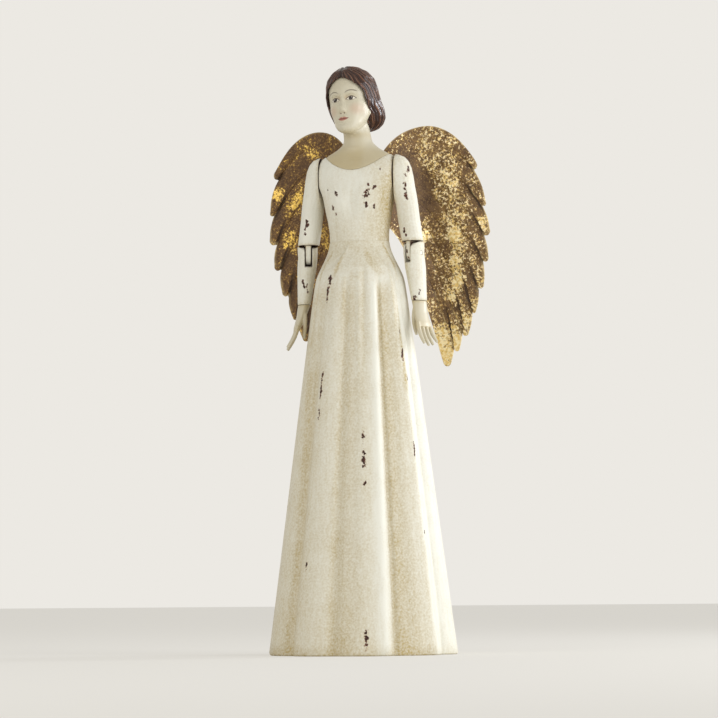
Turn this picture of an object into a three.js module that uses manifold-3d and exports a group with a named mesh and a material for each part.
// Angel tree topper: a carved and painted figure with jointed arms, pressed metal wings and a hollow skirt
// that goes over the top of a tree. Sizes are in millimetres and +Z is up. The figure faces -Y, and left
// and right are the figure's own, so its left is +X. The origin is the middle of the hem's underside.

import * as THREE from "three";
import { mergeVertices } from "three/addons/utils/BufferGeometryUtils.js";
import Module from "manifold-3d";

const wasm = await Module();
wasm.setup();

const HALF_TURN = 180; // degrees
const DEGREE = Math.PI / HALF_TURN;

// Fits that every piece shares.
const seatGap = 0.3; // between two pieces that touch
const overrun = 6; // how far a cutter runs past what it cuts
const ovalSides = 24;
const rodSides = 16;
const limbSides = 20;
const fingerSides = 6;
const fingerSteps = 5;
const limbEndShare = 0.8; // how far a finger's end rounds in

// Skirt: a hollow bell, nearly straight from hip to hem.
const skirtHeight = 372;
const hemWidth = 174;
const hemDepth = 170;
const hipWidth = 85;
const hipDepth = 68;
const hipDrop = 35;
const waistWidth = 55.4;
const waistDepth = 39;
const waistFlarePower = 1.5; // how late the bell opens below the waist
const skirtWall = 3.5;

// Folds: the angles where grooves lie on the front half, in degrees from the front towards the figure's
// left. The back half repeats them half a turn round. A crest lies at its share of the way to the next
// groove.
const foldAngles = [-72, -33, -1, 38, 78];
const crestShares = [0.56, 0.3, 0.56, 0.7, 0.56];
const foldColumnShares = [0, 0.06, 0.18, 0.3, 0.44, 0.56, 0.7, 0.86];
const hemFoldDepth = 7;
const hipFoldDepth = 3.4;
const foldRun = 24; // drop over which a fold opens to its full hip depth
const gatherDepth = 1.5; // finer gathers between the folds, which die out below the hip
const gatherLength = 120;
const yokeDrop = 28; // plain front between the waist and the first gathers
const sideFoldDrop = 5;
const yokeHalfAngle = 35;
const yokeFadeAngle = 62;
const crestPower = 0.7; // under 1 keeps a crest broad and a groove narrow
const gatherWidthShare = 0.13;
const hemRows = 6;
const hipRows = 6;
const blockRows = 2;
const hemRowPower = 1.5; // closer rows towards the hip

// Waist block and the fixings that hold skirt, torso and tree tube together.
const blockHeight = 21;
const studRadius = 3;
const studTop = 45; // how far the stud stands up into the torso
const nutHeight = 5;
const nutAcrossFlats = 10;
const nutSides = 6;
const washerRadius = 9;
const washerThickness = 1.2;
const studTail = 2; // thread left standing past the nut
const studChamferShare = 0.3;

// Sleeve that slides over the tree's top shoot.
const treeTubeBore = 24;
const treeTubeWall = 1.2;
const treeTubeLength = 150;
const flangeRadius = 20;
const flangeThickness = 1.6;
const tubeScrewCount = 3;
const tubeSides = 28;

// Wood screws: one size for the tube's flange and the wings.
const screwShankRadius = 1.4;
const screwHeadRadius = 2.9;
const screwHeadHeight = 1.8;
const screwLength = 11;
const screwPoint = 2.6;
const screwSlotWidth = 0.8;
const screwSlotDepth = 0.9;
const screwSides = 8;
const screwHeadShares = [
  // radius, height
  [0, 1],
  [0.6, 0.85],
  [1, 0.3],
  [1, 0],
];

// Torso: half-sizes at heights above the waist, as shares of the named sizes below.
const torsoHeight = 91; // waist to the root of the neck
const torsoWidth = 77; // across the chest before the armholes are cut flat
const chestDepth = 25;
const backDepth = 20.5;
const shoulderWidth = 70; // from armhole face to armhole face
const torsoShares = [
  // height, width, front, back, squareness
  [0, 0.717, 0.78, 0.95, 2],
  [0.09, 0.717, 0.8, 0.93, 2.1],
  [0.2, 0.75, 0.86, 0.93, 2.2],
  [0.29, 0.792, 0.94, 0.95, 2.3],
  [0.37, 0.82, 1, 0.98, 2.4],
  [0.46, 0.862, 1, 1, 2.5],
  [0.55, 0.948, 0.96, 1, 2.6],
  [0.64, 0.987, 0.9, 1, 2.6],
  [0.72, 1, 0.82, 0.98, 2.6],
  [0.79, 0.974, 0.7, 0.9, 2.5],
  [0.835, 0.91, 0.6, 0.83, 2.4],
  [0.88, 0.76, 0.54, 0.76, 2.2],
  [0.935, 0.53, 0.5, 0.71, 2],
  [1, 0.36, 0.49, 0.66, 2],
];
const bustRise = 2.4;
const bustHeight = 33;
const bustSpacing = 25;
const bustSpread = 9;
const bustTallShare = 1.2;
const torsoSides = 32;
const necklineHeight = 64; // lowest point of the neckline above the waist
const necklineWidth = 58; // where it has risen by the next size
const necklineRise = 14;
const necklineReachShare = 0.6; // half the cutter's width
const necklineSteps = 14;
const dressEdge = 0.8; // how far the dress stands proud of the chest
const wingSeatDepth = 20; // flat on the back that the wings are screwed to
const wingSeatWidth = 32;
const wingSeatHeight = 66;
const wingSeatBottom = 14;

// Neck and head. The head turns and leans a little towards the figure's right.
const neckWidth = 25.4;
const neckDepth = 25;
const neckTopHeight = 121; // above the waist, inside the head
const neckSunk = 4.6; // how far the neck's foot lies below the top of the torso
const neckShares = [
  // height as a share of the way from the neck's foot to its top, then how wide against the size above
  [0, 1.1],
  [0.19, 1.02],
  [0.41, 0.99],
  [0.72, 1],
  [1, 1],
];
const neckForwardShare = 0.2;
const neckDowelRadius = 3.5;
const neckDowelLength = 34;
const headHeight = 60;
const headWidth = 40;
const headDepth = 47;
const headCentreHeight = 127.5; // above the waist
const headShift = -4.5;
const headForward = 5.5;
const headTurnAngle = -7;
const headLeanAngle = -5;
const headShares = [
  // height, width, front, back: shares of the head's height, width and depth, from its middle
  [-0.5, 0.22, 0.43, -0.2],
  [-0.45, 0.45, 0.475, -0.08],
  [-0.38, 0.63, 0.475, 0.06],
  [-0.28, 0.78, 0.455, 0.22],
  [-0.17, 0.88, 0.45, 0.35],
  [-0.05, 0.94, 0.45, 0.45],
  [0.07, 0.98, 0.455, 0.5],
  [0.2, 1, 0.45, 0.53],
  [0.33, 0.9, 0.41, 0.49],
  [0.43, 0.67, 0.3, 0.38],
  [0.5, 0.3, 0.15, 0.2],
];
const noseShares = [
  // height, width, forward: shares of the head's height, width and depth
  [-0.2, 0.14, 0.06],
  [-0.17, 0.21, 0.115],
  [-0.13, 0.18, 0.12],
  [-0.04, 0.13, 0.065],
  [0.06, 0.1, 0.02],
];
const noseRootShare = 0.42;
const noseBackShare = 0.08;
const noseSides = 10;
const headSides = 24;
const headSquareness = 2.2;
const hairShares = [
  // height, width, front, back: shares of the head's height, width and depth
  [-0.42, 0.62, -0.2, 0.5],
  [-0.39, 0.86, -0.12, 0.59],
  [-0.33, 1.07, -0.04, 0.66],
  [-0.24, 1.22, 0.08, 0.71],
  [-0.13, 1.26, 0.25, 0.71],
  [-0.02, 1.23, 0.42, 0.67],
  [0.1, 1.19, 0.49, 0.63],
  [0.22, 1.15, 0.5, 0.61],
  [0.35, 1.05, 0.46, 0.56],
  [0.46, 0.8, 0.36, 0.45],
  [0.54, 0.42, 0.2, 0.26],
];
const hairlineTopShare = 0.34;
const hairlineSideShare = 0.08;
const hairlineWidthShare = 0.93;
const hairlineFootShare = -0.6;
const hairlineBackShare = 0.02;
const hairlineBendShares = [0.75, 0.25]; // across, and down from the parting
const hairlineNarrowShare = 0.98;
const hairlineSteps = 6;

// Arms: the left one, and the right one is its mirror image.
const armDrop = 79.5; // top of the shoulder to the cut above the elbow
const shoulderTopHeight = 78.5; // above the waist
const shoulderPivotHeight = 58; // above the waist
const sleeveWidth = 20;
const armClear = 12.5; // how far the arm's spread goes past the hip
const upperArmShares = [
  // drop, centre out from the armhole as a share of the spread, half width, half depth
  [0, 0.035, 0.1, 0.2],
  [0.03, 0.06, 0.35, 0.4],
  [0.079, 0.085, 0.5, 0.525],
  [0.152, 0.11, 0.6, 0.6],
  [0.249, 0.135, 0.655, 0.625],
  [0.371, 0.21, 0.65, 0.615],
  [0.493, 0.385, 0.56, 0.575],
  [0.578, 0.485, 0.505, 0.55],
  [0.736, 0.56, 0.5, 0.515],
  [0.882, 0.645, 0.5, 0.5],
  [1, 0.725, 0.49, 0.5],
];
const shoulderPegRadius = 4;
const shoulderPegInTorso = 15;
const shoulderPegInArm = 9;

// Elbow: a tongue on the upper arm turns in a forked forearm. Its pin is turned from the body's cross line.
const elbowTurnAngle = 23;
const elbowDrop = 10.8; // from the cut to the pin
const elbowClear = 8.2; // pin outwards from the widest part of the hip
const elbowBack = 2.5;
const tongueThickness = 5.5;
const tongueRadius = 8.2;
const tongueSteps = 12;
const elbowPinRadius = 1.6;
const elbowPinLengthShare = 0.94;
const forkClearance = 0.4;
const forearmLength = 43; // pin to cuff
const forearmWidth = 18;
const forearmDepth = 21;
const cuffOut = 3.4;
const cuffBack = 2.7;
const forearmShares = [
  // drop below the pin as a share of the length, then half width and half depth
  [1, 0.33, 0.405],
  [0.7, 0.39, 0.45],
  [0.3, 0.475, 0.515],
  [0, 0.5, 0.49],
  [-0.26, 0.52, 0.485],
];

// Hand: a palm with a thumb and fingers, turned with the forearm.
const wristDowelRadius = 1.8;
const wristDowelLength = 16;
const palmLength = 24;
const palmWidth = 19;
const palmThickness = 8;
const palmShares = [
  // drop, outwards as a share of the length, half thickness, half width
  [1, 0.32, 0.32, 0.46],
  [0.86, 0.27, 0.42, 0.5],
  [0.45, 0.12, 0.55, 0.44],
  [0, 0, 0.7, 0.43],
];
const fingerRadius = 2.4;
const fingerTipRadius = 1.7;
const fingerSpacing = 4.9;
const fingerLengths = [17, 19, 18, 15];
const fingerSpread = 1.2; // at the tips, on top of the spacing
const fingerCurl = 7; // outwards at the tips
const fingerCurlPower = 1.6;
const fingerPathShares = [0, 0.33, 0.66, 1];
const fingerRootShare = 0.82; // down the palm
const fingerInPalmShare = 0.18;
const fingerLeanShare = 0.12;
const fingerLiftShare = 0.06;
const thumbRadius = 2.6;
const thumbLength = 26;
const thumbForward = 6;
const thumbOut = 0.5;
const thumbBow = 2;
const thumbPathShares = [0, 0.35, 0.7, 1];
const thumbTurnShares = [0.2, 0.85]; // of half a turn, at its root and at its tip
const thumbBackShare = 0.3;
const thumbRootShare = 0.2; // down the palm

// Wings: pressed sheet, one per side, as shares of the half span and the height from the top down.
const wingHalfSpan = 106.3;
const wingHeight = 217.5;
const wingTopHeight = 108; // above the waist
const wingSheet = 1;
const wingSweep = 20; // how far it stands back from the torso once clear of the shoulder
const wingLeanShare = 0.185; // how far it leans back for each unit down
const featherRelief = 1.3;
const wingTipShares = [
  [0.923, 0.173],
  [0.983, 0.331],
  [1, 0.45],
  [0.971, 0.562],
  [0.912, 0.673],
  [0.828, 0.778],
  [0.742, 0.872],
  [0.65, 0.937],
  [0.55, 1],
];
const wingNotchShares = [
  [0.908, 0.142],
  [0.892, 0.183],
  [0.951, 0.334],
  [0.947, 0.456],
  [0.923, 0.562],
  [0.87, 0.673],
  [0.801, 0.773],
  [0.699, 0.858],
  [0.619, 0.915],
  [0.478, 0.907],
];
// Where each wing's lines start and how they bend, along its top edge and along its inner edge.
const wingTopShares = [
  [0.075, 0.179],
  [0.252, -0.078],
  [0.71, -0.064],
];
const wingInnerShares = [
  [0.087, 0.4],
  [0.3, 0.377],
  [0.383, 0.69],
];
const featherEdgeShares = [0, 0.33, 0.66]; // along a feather's outer edge, before its rounded tip
const featherEdgeBulgeShare = 0.08;
const featherTipRadius = 4.6; // at most, and no more than the next size allows
const featherTipWidthShare = 0.5; // of the way back from the tip to the next notch
const featherTipShares = [
  // how far back from the tip, how far out from the edge, then the most of the edge that it may take
  [1.7, 0.42, 0.6],
  [0.5, 0.5, 0.25],
];
const featherEdgeEndShare = 0.9; // of an edge's straight run, past which it gets no more points
const featherEdgeRise = 0.8; // the relief along an edge, against 1 at the tip and 0 in a notch
const wingRowShares = [0, 0.14, 0.3, 0.48, 0.64, 0.82, 1];
const featherStartShare = 0.5; // where a feather's relief begins along a line, and where it is full
const featherFullShare = 0.75;
const wingTabInner = 3;
const wingTabOuter = 13;
const wingTabHeight = 54;
const wingScrewSpacing = 34;
const wingScrewHeight = 45; // above the waist, midway between a wing's two screws

// Places worked out from the sizes above.
const hipZ = skirtHeight - hipDrop;
const waistZ = skirtHeight;
const blockBottomZ = waistZ - blockHeight;
const armholeX = shoulderWidth / 2;
const shoulderZ = waistZ + shoulderPivotHeight;
const shoulderTopZ = waistZ + shoulderTopHeight;
const elbowCutZ = shoulderTopZ - armDrop;
const elbowZ = elbowCutZ - elbowDrop;
const hipOut = (hipWidth - shoulderWidth) / 2; // hip past the armhole
const armSpread = hipOut + armClear;
const elbowX = armholeX + hipOut + elbowClear;
const wingTopZ = waistZ + wingTopHeight;
const wingRootY = wingSeatDepth + seatGap + wingSheet / 2;
const wingTabMiddle = (wingTabInner + wingTabOuter) / 2;
const wingScrewZ = waistZ + wingScrewHeight;

const lerp = THREE.MathUtils.lerp;
const smooth = THREE.MathUtils.smoothstep;
const clamp = THREE.MathUtils.clamp;

// A closed three.js geometry as a solid that can be joined and cut.
function solidOf(geometry) {
  geometry.deleteAttribute("normal");
  geometry.deleteAttribute("uv");
  const merged = mergeVertices(geometry);
  const mesh = new wasm.Mesh({
    numProp: 3,
    vertProperties: new Float32Array(merged.attributes.position.array),
    triVerts: new Uint32Array(merged.index.array),
  });
  return new wasm.Manifold(mesh);
}

function geometryOf(solid) {
  const mesh = solid.getMesh();
  const geometry = new THREE.BufferGeometry();
  geometry.setAttribute("position", new THREE.BufferAttribute(mesh.vertProperties, mesh.numProp));
  geometry.setIndex(new THREE.BufferAttribute(mesh.triVerts, 1));
  geometry.computeVertexNormals();
  return geometry;
}

// Rows of points joined into one closed skin. Each row runs anticlockwise seen from the last row's side.
// With capped rows the first and last are filled; otherwise the last row joins back to the first.
function skin(rows, capped = true) {
  const sides = rows[0].length;
  const points = rows.flat();
  const triangles = [];
  const joins = capped ? rows.length - 1 : rows.length;
  for (let row = 0; row < joins; row++) {
    const low = row * sides;
    const high = ((row + 1) % rows.length) * sides;
    for (let i = 0; i < sides; i++) {
      const j = (i + 1) % sides;
      triangles.push(low + i, low + j, high + j, low + i, high + j, high + i);
    }
  }
  if (capped) {
    const last = (rows.length - 1) * sides;
    for (const [start, row] of [[0, rows[0]], [last, rows.at(-1)]]) {
      const middle = row.reduce((sum, p) => sum.add(p), new THREE.Vector3()).divideScalar(sides);
      const centre = points.push(middle) - 1;
      for (let i = 0; i < sides; i++) {
        const j = (i + 1) % sides;
        triangles.push(centre, start + (start ? i : j), start + (start ? j : i));
      }
    }
  }
  const geometry = new THREE.BufferGeometry().setFromPoints(points);
  geometry.setIndex(triangles);
  return geometry;
}

// One level row: an oval that may be squared off, with its own depth in front and behind.
function oval({ z, halfWidth, front, back = front, x = 0, y = 0, squareness = 2, sides = ovalSides }) {
  return Array.from({ length: sides }, (_, i) => {
    const angle = (2 * Math.PI * i) / sides;
    const across = Math.sign(Math.sin(angle)) * Math.abs(Math.sin(angle)) ** (2 / squareness);
    const ahead = Math.sign(Math.cos(angle)) * Math.abs(Math.cos(angle)) ** (2 / squareness);
    return new THREE.Vector3(x + halfWidth * across, y - ahead * (ahead > 0 ? front : back), z);
  });
}

// A round bar between two points.
function bar(from, to, radius, sides = rodSides) {
  const along = to.clone().sub(from);
  const geometry = new THREE.CylinderGeometry(radius, radius, along.length(), sides);
  const up = new THREE.Vector3(0, 1, 0);
  geometry.applyQuaternion(new THREE.Quaternion().setFromUnitVectors(up, along.clone().normalize()));
  const middle = from.clone().add(to).divideScalar(2);
  return geometry.translate(middle.x, middle.y, middle.z);
}

function block(low, high) {
  const size = high.clone().sub(low);
  const middle = low.clone().add(high).divideScalar(2);
  return new THREE.BoxGeometry(size.x, size.y, size.z).translate(middle.x, middle.y, middle.z);
}

// A tapering round limb along a curve through the given points, closed at both ends.
function limb(points, startRadius, endRadius) {
  const curve = new THREE.CatmullRomCurve3(points);
  const frames = curve.computeFrenetFrames(fingerSteps);
  const rows = Array.from({ length: fingerSteps + 1 }, (_, step) => {
    const share = step / fingerSteps;
    const centre = curve.getPointAt(share);
    const fade = Math.sqrt(1 - (limbEndShare * share) ** 4);
    const radius = lerp(startRadius, endRadius, share) * fade;
    return Array.from({ length: fingerSides }, (_, i) => {
      const angle = (2 * Math.PI * i) / fingerSides;
      return centre
        .clone()
        .addScaledVector(frames.normals[step], radius * Math.cos(angle))
        .addScaledVector(frames.binormals[step], radius * Math.sin(angle));
    });
  });
  return skin(rows);
}

const at = (x, y, z) => new THREE.Vector3(x, y, z);

const finishes = {
  gown: { color: 0xd4d1bd, roughness: 0.6, metalness: 0 },
  flesh: { color: 0xc4ba98, roughness: 0.45, metalness: 0 },
  hair: { color: 0x3c2c23, roughness: 0.3, metalness: 0 },
  wing: { color: 0x9a7d4f, roughness: 0.45, metalness: 0.85 },
  wood: { color: 0xa9825a, roughness: 0.75, metalness: 0 },
  steel: { color: 0xa6a7a8, roughness: 0.4, metalness: 1 },
  tin: { color: 0x8f9190, roughness: 0.5, metalness: 1 },
};

const figure = new THREE.Group();

function place(name, geometry, finish, mirrored = false) {
  const mesh = new THREE.Mesh(geometry, new THREE.MeshStandardMaterial(finishes[finish]));
  mesh.name = name;
  if (mirrored) mesh.scale.x = -1;
  figure.add(mesh);
  return mesh;
}

// A piece and its mirror image on the figure's right.
function placePair(name, geometry, finish) {
  place(name.replace("SIDE", "left"), geometry, finish);
  place(name.replace("SIDE", "right"), geometry, finish, true);
}

// Skirt

function skirtSize(z) {
  const drop = skirtHeight - z;
  if (drop < hipDrop) {
    const share = drop / hipDrop;
    const ease = (smooth(share, 0, 1) + share ** waistFlarePower) / 2;
    return { width: lerp(waistWidth, hipWidth, ease), depth: lerp(waistDepth, hipDepth, ease) };
  }
  const share = (drop - hipDrop) / hipZ;
  return { width: lerp(hipWidth, hemWidth, share), depth: lerp(hipDepth, hemDepth, share) };
}

// How deep the grooves are at a height, on the plain front (0) or at the sides (1).
function foldReach(z, side) {
  const drop = skirtHeight - z;
  const start = lerp(yokeDrop, sideFoldDrop, side);
  const opened = clamp((drop - start) / foldRun, 0, 1);
  const fallen = clamp((drop - start) / (skirtHeight - start), 0, 1);
  return opened * lerp(hipFoldDepth, hemFoldDepth, fallen);
}

function gatherReach(z, side) {
  const drop = skirtHeight - z;
  const start = lerp(yokeDrop, sideFoldDrop, side);
  const opened = clamp((drop - start) / foldRun, 0, 1);
  return gatherDepth * opened * (1 - clamp((drop - start) / gatherLength, 0, 1));
}

// One column per line down the skirt: its angle, how far it lies in a groove, and in a gather.
const skirtColumns = [0, HALF_TURN].flatMap((half) =>
  foldAngles.flatMap((start, fold) => {
    const end = fold + 1 < foldAngles.length ? foldAngles[fold + 1] : foldAngles[0] + HALF_TURN;
    const crest = crestShares[fold];
    return foldColumnShares.map((share) => {
      const turn = share < crest ? share / crest / 2 : (1 + (share - crest) / (1 - crest)) / 2;
      const degrees = half + lerp(start, end, share);
      const round = THREE.MathUtils.euclideanModulo(degrees + HALF_TURN, 2 * HALF_TURN);
      const fromFront = Math.abs(round - HALF_TURN);
      return {
        angle: degrees * DEGREE,
        groove: 1 - Math.sin(Math.PI * turn) ** crestPower,
        gather: Math.exp(-(((share - crest) / gatherWidthShare) ** 2)),
        side: smooth(fromFront, yokeHalfAngle, yokeFadeAngle),
      };
    });
  }),
);

function skirtRow(z, inset, folded = true) {
  const size = skirtSize(z);
  return skirtColumns.map(({ angle, groove, gather, side }) => {
    const cut = inset + (folded ? groove * foldReach(z, side) + gather * gatherReach(z, side) : 0);
    return at(Math.sin(angle) * (size.width / 2 - cut), -Math.cos(angle) * (size.depth / 2 - cut), z);
  });
}

const skirtInset = (z) => skirtWall + foldReach(z, 1) + gatherReach(z, 1);

const outerLevels = [
  ...Array.from({ length: hemRows }, (_, i) => hipZ * (1 - (1 - i / hemRows) ** hemRowPower)),
  ...Array.from({ length: hipRows + 1 }, (_, i) => hipZ + (hipDrop * i) / hipRows),
];
const blockLevels = Array.from(
  { length: blockRows + 1 },
  (_, i) => blockBottomZ + (blockHeight * i) / blockRows,
);
const innerLevels = [...blockLevels].reverse().concat(hipZ, hipZ / 2, 0);
const skirtShell = skin(
  [...outerLevels.map((z) => skirtRow(z, 0)), ...innerLevels.map((z) => skirtRow(z, skirtInset(z), false))],
  false,
);
place("skirt", skirtShell, "gown");

// Waist block: fills the top of the skirt and takes the stud and the tube's screws.

const studBoreFoot = at(0, 0, blockBottomZ - overrun);
const studBoreTop = at(0, 0, waistZ + studTop + seatGap);
const studBore = bar(studBoreFoot, studBoreTop, studRadius + seatGap);
const screwCircle = treeTubeBore / 2 + treeTubeWall + seatGap + screwHeadRadius;
const tubeScrewAngles = Array.from(
  { length: tubeScrewCount },
  (_, i) => Math.PI / 2 + (2 * Math.PI * i) / tubeScrewCount,
);
const flangeTopZ = blockBottomZ - seatGap;
const flangeBottomZ = flangeTopZ - flangeThickness;

function screwBoreAt(angle, from, to) {
  const x = screwCircle * Math.cos(angle);
  const y = screwCircle * Math.sin(angle);
  return bar(at(x, y, from), at(x, y, to), screwShankRadius + seatGap);
}

let blockSolid = solidOf(skin(blockLevels.map((z) => skirtRow(z, skirtInset(z) + seatGap, false))));
blockSolid = blockSolid.subtract(solidOf(studBore));
for (const angle of tubeScrewAngles) {
  const bore = screwBoreAt(angle, blockBottomZ - overrun, blockBottomZ + screwLength + seatGap);
  blockSolid = blockSolid.subtract(solidOf(bore));
}
place("waist_block", geometryOf(blockSolid), "wood");

// A slotted round-head wood screw along +Z, with the underside of its head at 0.
function screwGeometry() {
  const outline = [
    ...screwHeadShares.map(([wide, tall]) => [screwHeadRadius * wide, -screwHeadHeight * tall]),
    [screwShankRadius, 0],
    [screwShankRadius, screwLength - screwPoint],
    [0, screwLength],
  ].map(([radius, height]) => new THREE.Vector2(radius, height));
  const body = new THREE.LatheGeometry(outline, screwSides).rotateX(Math.PI / 2);
  const slot = block(
    at(-screwHeadRadius - overrun, -screwSlotWidth / 2, -screwHeadHeight - overrun),
    at(screwHeadRadius + overrun, screwSlotWidth / 2, -screwHeadHeight + screwSlotDepth),
  );
  return geometryOf(solidOf(body).subtract(solidOf(slot)));
}

const screw = screwGeometry();
tubeScrewAngles.forEach((angle, i) => {
  const mesh = place("tube_screw_" + (i + 1), screw, "steel");
  mesh.position.set(screwCircle * Math.cos(angle), screwCircle * Math.sin(angle), flangeBottomZ - seatGap);
  mesh.rotation.z = angle;
});

// Tree tube: a flanged sleeve under the block.

const tubeOuter = treeTubeBore / 2 + treeTubeWall;
const tubeBottomZ = flangeTopZ - treeTubeLength;
const tubeOutline = [
  [treeTubeBore / 2, tubeBottomZ],
  [tubeOuter, tubeBottomZ],
  [tubeOuter, flangeBottomZ],
  [flangeRadius, flangeBottomZ],
  [flangeRadius, flangeTopZ],
  [treeTubeBore / 2, flangeTopZ],
  [treeTubeBore / 2, tubeBottomZ],
].map(([radius, height]) => new THREE.Vector2(radius, height));
let tubeSolid = solidOf(new THREE.LatheGeometry(tubeOutline, tubeSides).rotateX(Math.PI / 2));
for (const angle of tubeScrewAngles) {
  const hole = screwBoreAt(angle, flangeBottomZ - seatGap / 2, flangeTopZ + seatGap / 2);
  tubeSolid = tubeSolid.subtract(solidOf(hole));
}
place("treetop_tube", geometryOf(tubeSolid), "tin");

// Stud, washer and nut that draw the torso down onto the skirt.

const washerTopZ = blockBottomZ - seatGap;
const nutTopZ = washerTopZ - washerThickness - seatGap;
const studBottomZ = nutTopZ - nutHeight - studTail;
const studChamfer = studRadius * studChamferShare;
const studOutline = [
  [0, studBottomZ],
  [studRadius - studChamfer, studBottomZ],
  [studRadius, studBottomZ + studChamfer],
  [studRadius, waistZ + studTop - studChamfer],
  [studRadius - studChamfer, waistZ + studTop],
  [0, waistZ + studTop],
].map(([radius, height]) => new THREE.Vector2(radius, height));
const studLathe = new THREE.LatheGeometry(studOutline, rodSides).rotateX(Math.PI / 2);
place("torso_stud", geometryOf(solidOf(studLathe)), "steel");

function ringBetween(radius, lowZ, highZ, sides) {
  const outside = bar(at(0, 0, lowZ), at(0, 0, highZ), radius, sides);
  const bore = bar(at(0, 0, lowZ - overrun), at(0, 0, highZ + overrun), studRadius + seatGap);
  return geometryOf(solidOf(outside).subtract(solidOf(bore)));
}

const washer = ringBetween(washerRadius, washerTopZ - washerThickness, washerTopZ, rodSides);
place("stud_washer", washer, "steel");
const nut = ringBetween(nutAcrossFlats / Math.sqrt(3), nutTopZ - nutHeight, nutTopZ, nutSides);
place("stud_nut", nut, "steel");

// Torso and the chest plate inside its neckline.

function torsoLoft(inset) {
  const rows = torsoShares.map(([height, width, front, back, squareness]) => {
    const above = height * torsoHeight;
    const row = oval({
      z: waistZ + seatGap + above,
      halfWidth: (width * torsoWidth) / 2 - inset,
      front: front * chestDepth - inset,
      back: back * backDepth - inset,
      squareness,
      sides: torsoSides,
    });
    for (const point of row) {
      const off = (Math.abs(point.x) - bustSpacing / 2) / bustSpread;
      const up = (above - bustHeight) / (bustSpread * bustTallShare);
      if (point.y < 0) point.y -= bustRise * Math.exp(-off * off - up * up);
    }
    return row;
  });
  return solidOf(skin(rows));
}

// Everything above a neckline that dips in the middle, raised by a given amount.
function aboveNeckline(lift) {
  const half = torsoWidth * necklineReachShare;
  const low = waistZ + necklineHeight + lift;
  const rise = necklineRise * (half / (necklineWidth / 2)) ** 2;
  const top = waistZ + torsoHeight + torsoWidth;
  const shape = new THREE.Shape();
  shape.moveTo(-half, top);
  shape.lineTo(-half, low + rise);
  shape.quadraticCurveTo(0, low - rise, half, low + rise);
  shape.lineTo(half, top);
  shape.closePath();
  const depth = 2 * (chestDepth + backDepth);
  const options = { depth, bevelEnabled: false, curveSegments: necklineSteps };
  const geometry = new THREE.ExtrudeGeometry(shape, options);
  return solidOf(geometry.rotateX(Math.PI / 2).translate(0, depth / 2, 0));
}

function outsideArmhole(side) {
  const inner = at(side * armholeX, -torsoWidth, waistZ - overrun);
  const outer = at(side * torsoWidth, torsoWidth, waistZ + torsoHeight + overrun);
  return solidOf(block(inner.clone().min(outer), inner.clone().max(outer)));
}

const wingSeatZ = waistZ + wingSeatBottom;
const wingSeat = block(
  at(-wingSeatWidth / 2, wingSeatDepth, wingSeatZ),
  at(wingSeatWidth / 2, wingSeatDepth + backDepth, wingSeatZ + wingSeatHeight),
);
const neckDowelMiddle = waistZ + necklineHeight;
const dowelFrom = at(0, 0, neckDowelMiddle - neckDowelLength / 2);
const dowelTo = at(0, 0, neckDowelMiddle + neckDowelLength / 2);
const dowelSlack = at(0, 0, seatGap);
const dowelBoreFoot = dowelFrom.clone().sub(dowelSlack);
const dowelBoreTop = dowelTo.clone().add(dowelSlack);
const dowelBore = bar(dowelBoreFoot, dowelBoreTop, neckDowelRadius + seatGap);

let torsoSolid = torsoLoft(0).subtract(aboveNeckline(0)).subtract(solidOf(wingSeat));
torsoSolid = torsoSolid.subtract(solidOf(studBore)).subtract(solidOf(dowelBore));
for (const side of [1, -1]) {
  const pegEnd = at(side * (armholeX - shoulderPegInTorso - seatGap), 0, shoulderZ);
  const pegMouth = at(side * (armholeX + overrun), 0, shoulderZ);
  torsoSolid = torsoSolid.subtract(outsideArmhole(side));
  torsoSolid = torsoSolid.subtract(solidOf(bar(pegEnd, pegMouth, shoulderPegRadius + seatGap)));
  for (const up of [wingScrewSpacing / 2, -wingScrewSpacing / 2]) {
    const mouth = at(side * wingTabMiddle, wingSeatDepth + overrun, wingScrewZ + up);
    const end = at(side * wingTabMiddle, wingSeatDepth - screwLength, wingScrewZ + up);
    torsoSolid = torsoSolid.subtract(solidOf(bar(mouth, end, screwShankRadius + seatGap)));
  }
}
place("torso", geometryOf(torsoSolid), "gown");
place("neck_dowel", bar(dowelFrom, dowelTo, neckDowelRadius), "wood");

// Head: built about its own middle, then leaned, turned and set on the neck.

const headPose = new THREE.Euler(0, headLeanAngle * DEGREE, headTurnAngle * DEGREE, "ZYX");
const headPlace = new THREE.Matrix4().compose(
  at(headShift, -headForward, waistZ + headCentreHeight),
  new THREE.Quaternion().setFromEuler(headPose),
  at(1, 1, 1),
);

function headRows(shares, grow = 0) {
  return shares.map(([height, width, front, back], row) => {
    const end = row === 0 ? -grow : row === shares.length - 1 ? grow : 0;
    const middle = ((back - front) * headDepth) / 2;
    const half = ((front + back) * headDepth) / 2 + grow;
    return oval({
      z: height * headHeight + end,
      halfWidth: (width * headWidth) / 2 + grow,
      front: half,
      y: middle,
      squareness: headSquareness,
      sides: headSides,
    });
  });
}

const noseRows = noseShares.map(([height, width, forward]) =>
  oval({
    z: height * headHeight,
    halfWidth: (width * headWidth) / 2,
    front: forward * headDepth,
    back: noseBackShare * headDepth,
    y: -noseRootShare * headDepth,
    sides: noseSides,
  }),
);
// The neck as rows, grown by a gap where the hair goes round it.
function neckRows(grow) {
  return neckShares.map(([height, wide]) => {
    const lean = smooth(height, 0, 1);
    return oval({
      z: waistZ + lerp(torsoHeight - neckSunk, neckTopHeight, height),
      halfWidth: (neckWidth / 2) * wide + grow,
      front: (neckDepth / 2) * wide + grow,
      x: headShift * lean,
      y: -headForward * neckForwardShare * lean,
      sides: limbSides,
    });
  });
}

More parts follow.
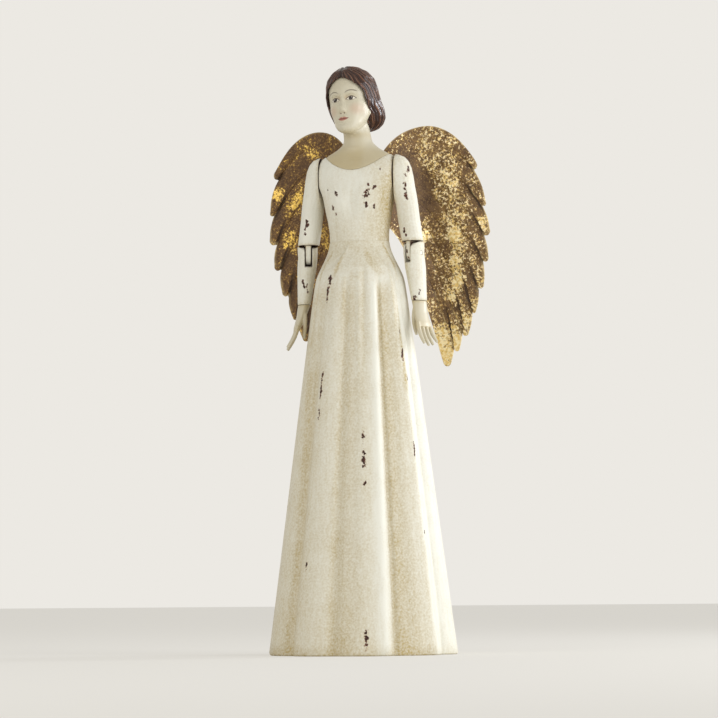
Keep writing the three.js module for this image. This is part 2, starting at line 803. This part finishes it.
const headSolid = solidOf(skin(headRows(headShares)).applyMatrix4(headPlace));
const bustSolid = torsoLoft(dressEdge)
  .intersect(aboveNeckline(seatGap))
  .add(solidOf(skin(neckRows(0))))
  .add(headSolid)
  .add(solidOf(skin(noseRows).applyMatrix4(headPlace)))
  .subtract(solidOf(dowelBore));
place("head", geometryOf(bustSolid), "flesh");

// Hair: a cap with a low roll at the nape, open over the face.

function faceOpening() {
  const top = hairlineTopShare * headHeight;
  const side = hairlineSideShare * headHeight;
  const foot = hairlineFootShare * headHeight;
  const half = (hairlineWidthShare * headWidth) / 2;
  const shape = new THREE.Shape();
  const bendX = half * hairlineBendShares[0];
  const bendY = lerp(top, side, hairlineBendShares[1]);
  shape.moveTo(0, top);
  shape.quadraticCurveTo(-bendX, bendY, -half, side);
  shape.lineTo(-half * hairlineNarrowShare, foot);
  shape.lineTo(half * hairlineNarrowShare, foot);
  shape.lineTo(half, side);
  shape.quadraticCurveTo(bendX, bendY, 0, top);
  const options = { depth: headDepth, bevelEnabled: false, curveSegments: hairlineSteps };
  const geometry = new THREE.ExtrudeGeometry(shape, options);
  return geometry.rotateX(Math.PI / 2).translate(0, hairlineBackShare * headDepth, 0);
}

const hairSolid = solidOf(skin(headRows(hairShares)).applyMatrix4(headPlace))
  .subtract(solidOf(skin(headRows(headShares, seatGap)).applyMatrix4(headPlace)))
  .subtract(solidOf(faceOpening().applyMatrix4(headPlace)))
  .subtract(solidOf(skin(neckRows(seatGap))));
place("hair", geometryOf(hairSolid), "hair");

// Upper arm: a shoulder puff and sleeve, flat at the armhole, with the elbow tongue below.

const upperArmRows = [...upperArmShares].reverse().map(([drop, out, halfWidth, halfDepth]) =>
  oval({
    z: shoulderTopZ - drop * armDrop,
    halfWidth: halfWidth * sleeveWidth,
    front: halfDepth * sleeveWidth,
    x: armholeX + seatGap + out * armSpread,
    y: elbowBack * drop,
    sides: limbSides,
  }),
);

// The elbow's own frame: +X along its pin and outwards, -Y the way the forearm folds, and the pin at the
// origin.
const elbowPlace = new THREE.Matrix4().compose(
  at(elbowX, elbowBack, elbowZ),
  new THREE.Quaternion().setFromEuler(new THREE.Euler(0, 0, -elbowTurnAngle * DEGREE)),
  at(1, 1, 1),
);

function tongueGeometry() {
  const shape = new THREE.Shape();
  const top = elbowDrop + tongueRadius / 2;
  shape.moveTo(-tongueRadius, top);
  shape.lineTo(-tongueRadius, 0);
  shape.absarc(0, 0, tongueRadius, Math.PI, 2 * Math.PI, false);
  shape.lineTo(tongueRadius, top);
  shape.closePath();
  const options = { depth: tongueThickness, bevelEnabled: false, curveSegments: tongueSteps };
  const geometry = new THREE.ExtrudeGeometry(shape, options);
  geometry.translate(0, 0, -tongueThickness / 2);
  return geometry.rotateX(Math.PI / 2).rotateZ(Math.PI / 2);
}

const pinReach = forearmWidth * forearmShares[3][1];
const pinBore = bar(at(-pinReach - overrun, 0, 0), at(pinReach + overrun, 0, 0), elbowPinRadius + seatGap);
const inboard = block(
  at(armholeX - sleeveWidth, -sleeveWidth, elbowCutZ - sleeveWidth),
  at(armholeX + seatGap, sleeveWidth, shoulderTopZ + overrun),
);
const armPegBore = bar(
  at(armholeX - overrun, 0, shoulderZ),
  at(armholeX + shoulderPegInArm + seatGap, 0, shoulderZ),
  shoulderPegRadius + seatGap,
);
const upperArmSolid = solidOf(skin(upperArmRows))
  .subtract(solidOf(inboard))
  .add(solidOf(tongueGeometry().applyMatrix4(elbowPlace)))
  .subtract(solidOf(pinBore.clone().applyMatrix4(elbowPlace)))
  .subtract(solidOf(armPegBore));
placePair("upper_arm_SIDE", geometryOf(upperArmSolid), "gown");
const shoulderPeg = bar(
  at(armholeX - shoulderPegInTorso, 0, shoulderZ),
  at(armholeX + shoulderPegInArm, 0, shoulderZ),
  shoulderPegRadius,
);
placePair("shoulder_peg_SIDE", shoulderPeg, "wood");

// Forearm: a fork round the tongue, rounded off in front so that it clears the cut as it folds.

const forkTop = elbowDrop - seatGap;
const forearmRows = forearmShares.map(([drop, halfWidth, halfDepth]) =>
  oval({
    z: drop < 0 ? forkTop : -drop * forearmLength,
    halfWidth: halfWidth * forearmWidth,
    front: halfDepth * forearmDepth,
    x: cuffOut * Math.max(drop, 0),
    y: cuffBack * Math.max(drop, 0),
    sides: limbSides,
  }),
);
const forkReach = forearmDepth;
const slotHalf = tongueThickness / 2 + forkClearance;
const forkSlot = block(
  at(-slotHalf, -forkReach, -tongueRadius - forkClearance),
  at(slotHalf, forkReach, forkTop + overrun),
);
const frontCorner = block(at(-forkReach, -forkReach, 0), at(forkReach, 0, forkTop + overrun));
const frontRound = bar(at(-forkReach, 0, 0), at(forkReach, 0, 0), forkTop - forkClearance / 2, torsoSides);
const wristTop = at(cuffOut, cuffBack, wristDowelLength / 2 - forearmLength);
const wristFoot = at(cuffOut, cuffBack, -forearmLength - wristDowelLength / 2);
const wristSlack = at(0, 0, seatGap);
const wristBore = bar(
  wristTop.clone().add(wristSlack),
  wristFoot.clone().sub(wristSlack),
  wristDowelRadius + seatGap,
);
const forearmSolid = solidOf(skin(forearmRows))
  .subtract(solidOf(forkSlot))
  .subtract(solidOf(frontCorner).subtract(solidOf(frontRound)))
  .subtract(solidOf(pinBore.clone()))
  .subtract(solidOf(wristBore.clone()));
placePair("forearm_SIDE", geometryOf(forearmSolid).applyMatrix4(elbowPlace), "gown");
const pinHalf = pinReach * elbowPinLengthShare;
const elbowPin = bar(at(-pinHalf, 0, 0), at(pinHalf, 0, 0), elbowPinRadius);
placePair("elbow_pin_SIDE", elbowPin.applyMatrix4(elbowPlace), "wood");
const wristDowel = bar(wristTop, wristFoot, wristDowelRadius);
placePair("wrist_dowel_SIDE", wristDowel.applyMatrix4(elbowPlace), "wood");

// Hand: the palm faces the skirt, the thumb hangs inside and the fingers lift outwards.

const palmTopZ = -forearmLength - seatGap;
const palmRows = palmShares.map(([drop, out, halfThick, halfWide]) =>
  oval({
    z: palmTopZ - drop * palmLength,
    halfWidth: halfThick * palmThickness,
    front: halfWide * palmWidth,
    x: cuffOut + out * palmLength,
    y: cuffBack * (1 - drop),
    sides: limbSides,
  }),
);
let handSolid = solidOf(skin(palmRows));
fingerLengths.forEach((length, finger) => {
  const along = finger - (fingerLengths.length - 1) / 2;
  const rootX = cuffOut + palmLength * palmShares[1][1];
  const rootZ = palmTopZ - palmLength * fingerRootShare;
  const fall = length + palmLength * fingerInPalmShare;
  const path = fingerPathShares.map((share) =>
    at(
      rootX + length * fingerLeanShare * share + fingerCurl * share ** fingerCurlPower,
      along * (fingerSpacing + fingerSpread * share),
      rootZ - fall * share * (1 - fingerLiftShare * share),
    ),
  );
  handSolid = handSolid.add(solidOf(limb(path, fingerRadius, fingerTipRadius)));
});
const thumbPath = thumbPathShares.map((share) =>
  at(
    cuffOut + thumbOut - thumbBow * share * (1 - share),
    cuffBack * thumbBackShare - thumbForward * Math.sin(Math.PI * lerp(...thumbTurnShares, share)),
    palmTopZ - palmLength * thumbRootShare - thumbLength * share,
  ),
);
handSolid = handSolid.add(solidOf(limb(thumbPath, thumbRadius, fingerTipRadius)));
handSolid = handSolid.subtract(solidOf(wristBore.clone()));
placePair("hand_SIDE", geometryOf(handSolid).applyMatrix4(elbowPlace), "flesh");

// Wings

function wingPoint([across, down]) {
  return new THREE.Vector2(across * wingHalfSpan, wingTopZ - down * wingHeight);
}

// How far back the sheet stands at a place across and up.
function wingBack(x, z) {
  const clear = smooth(x, wingTabOuter, wingHalfSpan / 2);
  return wingRootY + clear * (wingSweep + wingLeanShare * (wingTopZ - z));
}

// The end of each line of the wing and how far it is raised: from a notch along the feather's outer edge,
// round its tip and back to the next notch.
function featherEnds(notch, tip, nextNotch) {
  const outer = tip.clone().sub(notch);
  const back = nextNotch.clone().sub(tip);
  const radius = Math.min(featherTipRadius, featherTipWidthShare * back.length());
  const outwards = (edge) => new THREE.Vector2(-edge.y, edge.x).normalize();
  const roundedTo = (edge, [along, , most]) => Math.min((along * radius) / edge.length(), most);
  const before = featherTipShares.map((row) =>
    tip
      .clone()
      .addScaledVector(outer, -roundedTo(outer, row))
      .addScaledVector(outwards(outer), row[1] * radius),
  );
  const after = [...featherTipShares].reverse().map((row) =>
    tip
      .clone()
      .addScaledVector(back, roundedTo(back, row))
      .addScaledVector(outwards(back), row[1] * radius),
  );
  const straight = featherEdgeEndShare * (1 - roundedTo(outer, featherTipShares[0]));
  const edge = featherEdgeShares
    .filter((share) => share < straight)
    .map((share) => {
      const bulge = 4 * share * (1 - share) * featherEdgeBulgeShare * outer.length();
      return notch.clone().addScaledVector(outer, share).addScaledVector(outwards(outer), bulge);
    });
  const points = [...edge, ...before, tip, ...after];
  return points.map((point, i) => ({
    point,
    along: i / points.length,
    rise: i === 0 ? 0 : point === tip ? 1 : featherEdgeRise,
  }));
}

const featherCount = wingTipShares.length;
const wingEnds = wingTipShares.flatMap((tipShare, feather) =>
  featherEnds(
    wingPoint(wingNotchShares[feather]),
    wingPoint(tipShare),
    wingPoint(wingNotchShares[feather + 1]),
  ).map((end) => ({ ...end, share: (feather + end.along) / featherCount })),
);
wingEnds.push({ point: wingPoint(wingNotchShares.at(-1)), share: 1, rise: 0 });

const wingLines = wingEnds.map(({ point: end, share, rise }) => {
  const [from, bend, reach] = wingTopShares.map((top, i) => {
    const inner = wingPoint(wingInnerShares[i]);
    return wingPoint(top).lerp(inner, share);
  });
  const curve = new THREE.CubicBezierCurve(from, bend, reach, end);
  return wingRowShares.map((along) => {
    const point = curve.getPoint(along);
    const started = smooth(along, featherStartShare, featherFullShare);
    return at(point.x, wingBack(point.x, point.y) - featherRelief * rise * started, point.y);
  });
});

// A sheet of points thickened to both sides and closed round its rim.
function sheetSolid(lines, thickness) {
  const half = at(0, thickness / 2, 0);
  const rows = lines[0].length;
  const rim = lines.map((line) => [
    ...line.map((point) => point.clone().sub(half)),
    ...[...line].reverse().map((point) => point.clone().add(half)),
  ]);
  const points = rim.flat();
  const round = 2 * rows;
  const triangles = [];
  for (let line = 0; line + 1 < lines.length; line++) {
    for (let i = 0; i < round; i++) {
      const j = (i + 1) % round;
      const a = line * round;
      const b = a + round;
      triangles.push(a + i, b + j, a + j, a + i, b + i, b + j);
    }
  }
  const last = (lines.length - 1) * round;
  for (let i = 0; i + 1 < rows; i++) {
    const mirror = round - 1 - i;
    triangles.push(i, i + 1, mirror, i + 1, mirror - 1, mirror);
    triangles.push(last + i, last + mirror, last + i + 1, last + i + 1, last + mirror, last + mirror - 1);
  }
  const geometry = new THREE.BufferGeometry().setFromPoints(points);
  geometry.setIndex(triangles);
  return solidOf(geometry);
}

const wingTab = block(
  at(wingTabInner, wingRootY - wingSheet / 2, wingScrewZ - wingTabHeight / 2),
  at(wingTabOuter, wingRootY + wingSheet / 2, wingScrewZ + wingTabHeight / 2),
);
let wingSolid = sheetSolid(wingLines, wingSheet).add(solidOf(wingTab));
const wingScrewHeights = [
  ["upper", wingScrewZ + wingScrewSpacing / 2],
  ["lower", wingScrewZ - wingScrewSpacing / 2],
];
for (const [, z] of wingScrewHeights) {
  const through = bar(
    at(wingTabMiddle, wingRootY - overrun, z),
    at(wingTabMiddle, wingRootY + overrun, z),
    screwShankRadius + seatGap,
  );
  wingSolid = wingSolid.subtract(solidOf(through));
}
placePair("wing_SIDE", geometryOf(wingSolid), "wing");
for (const [side, sign] of [["left", 1], ["right", -1]]) {
  for (const [level, z] of wingScrewHeights) {
    const mesh = place("wing_screw_" + side + "_" + level, screw, "steel");
    mesh.position.set(sign * wingTabMiddle, wingRootY + wingSheet / 2 + seatGap, z);
    mesh.rotation.x = Math.PI / 2;
  }
}

export default figure;
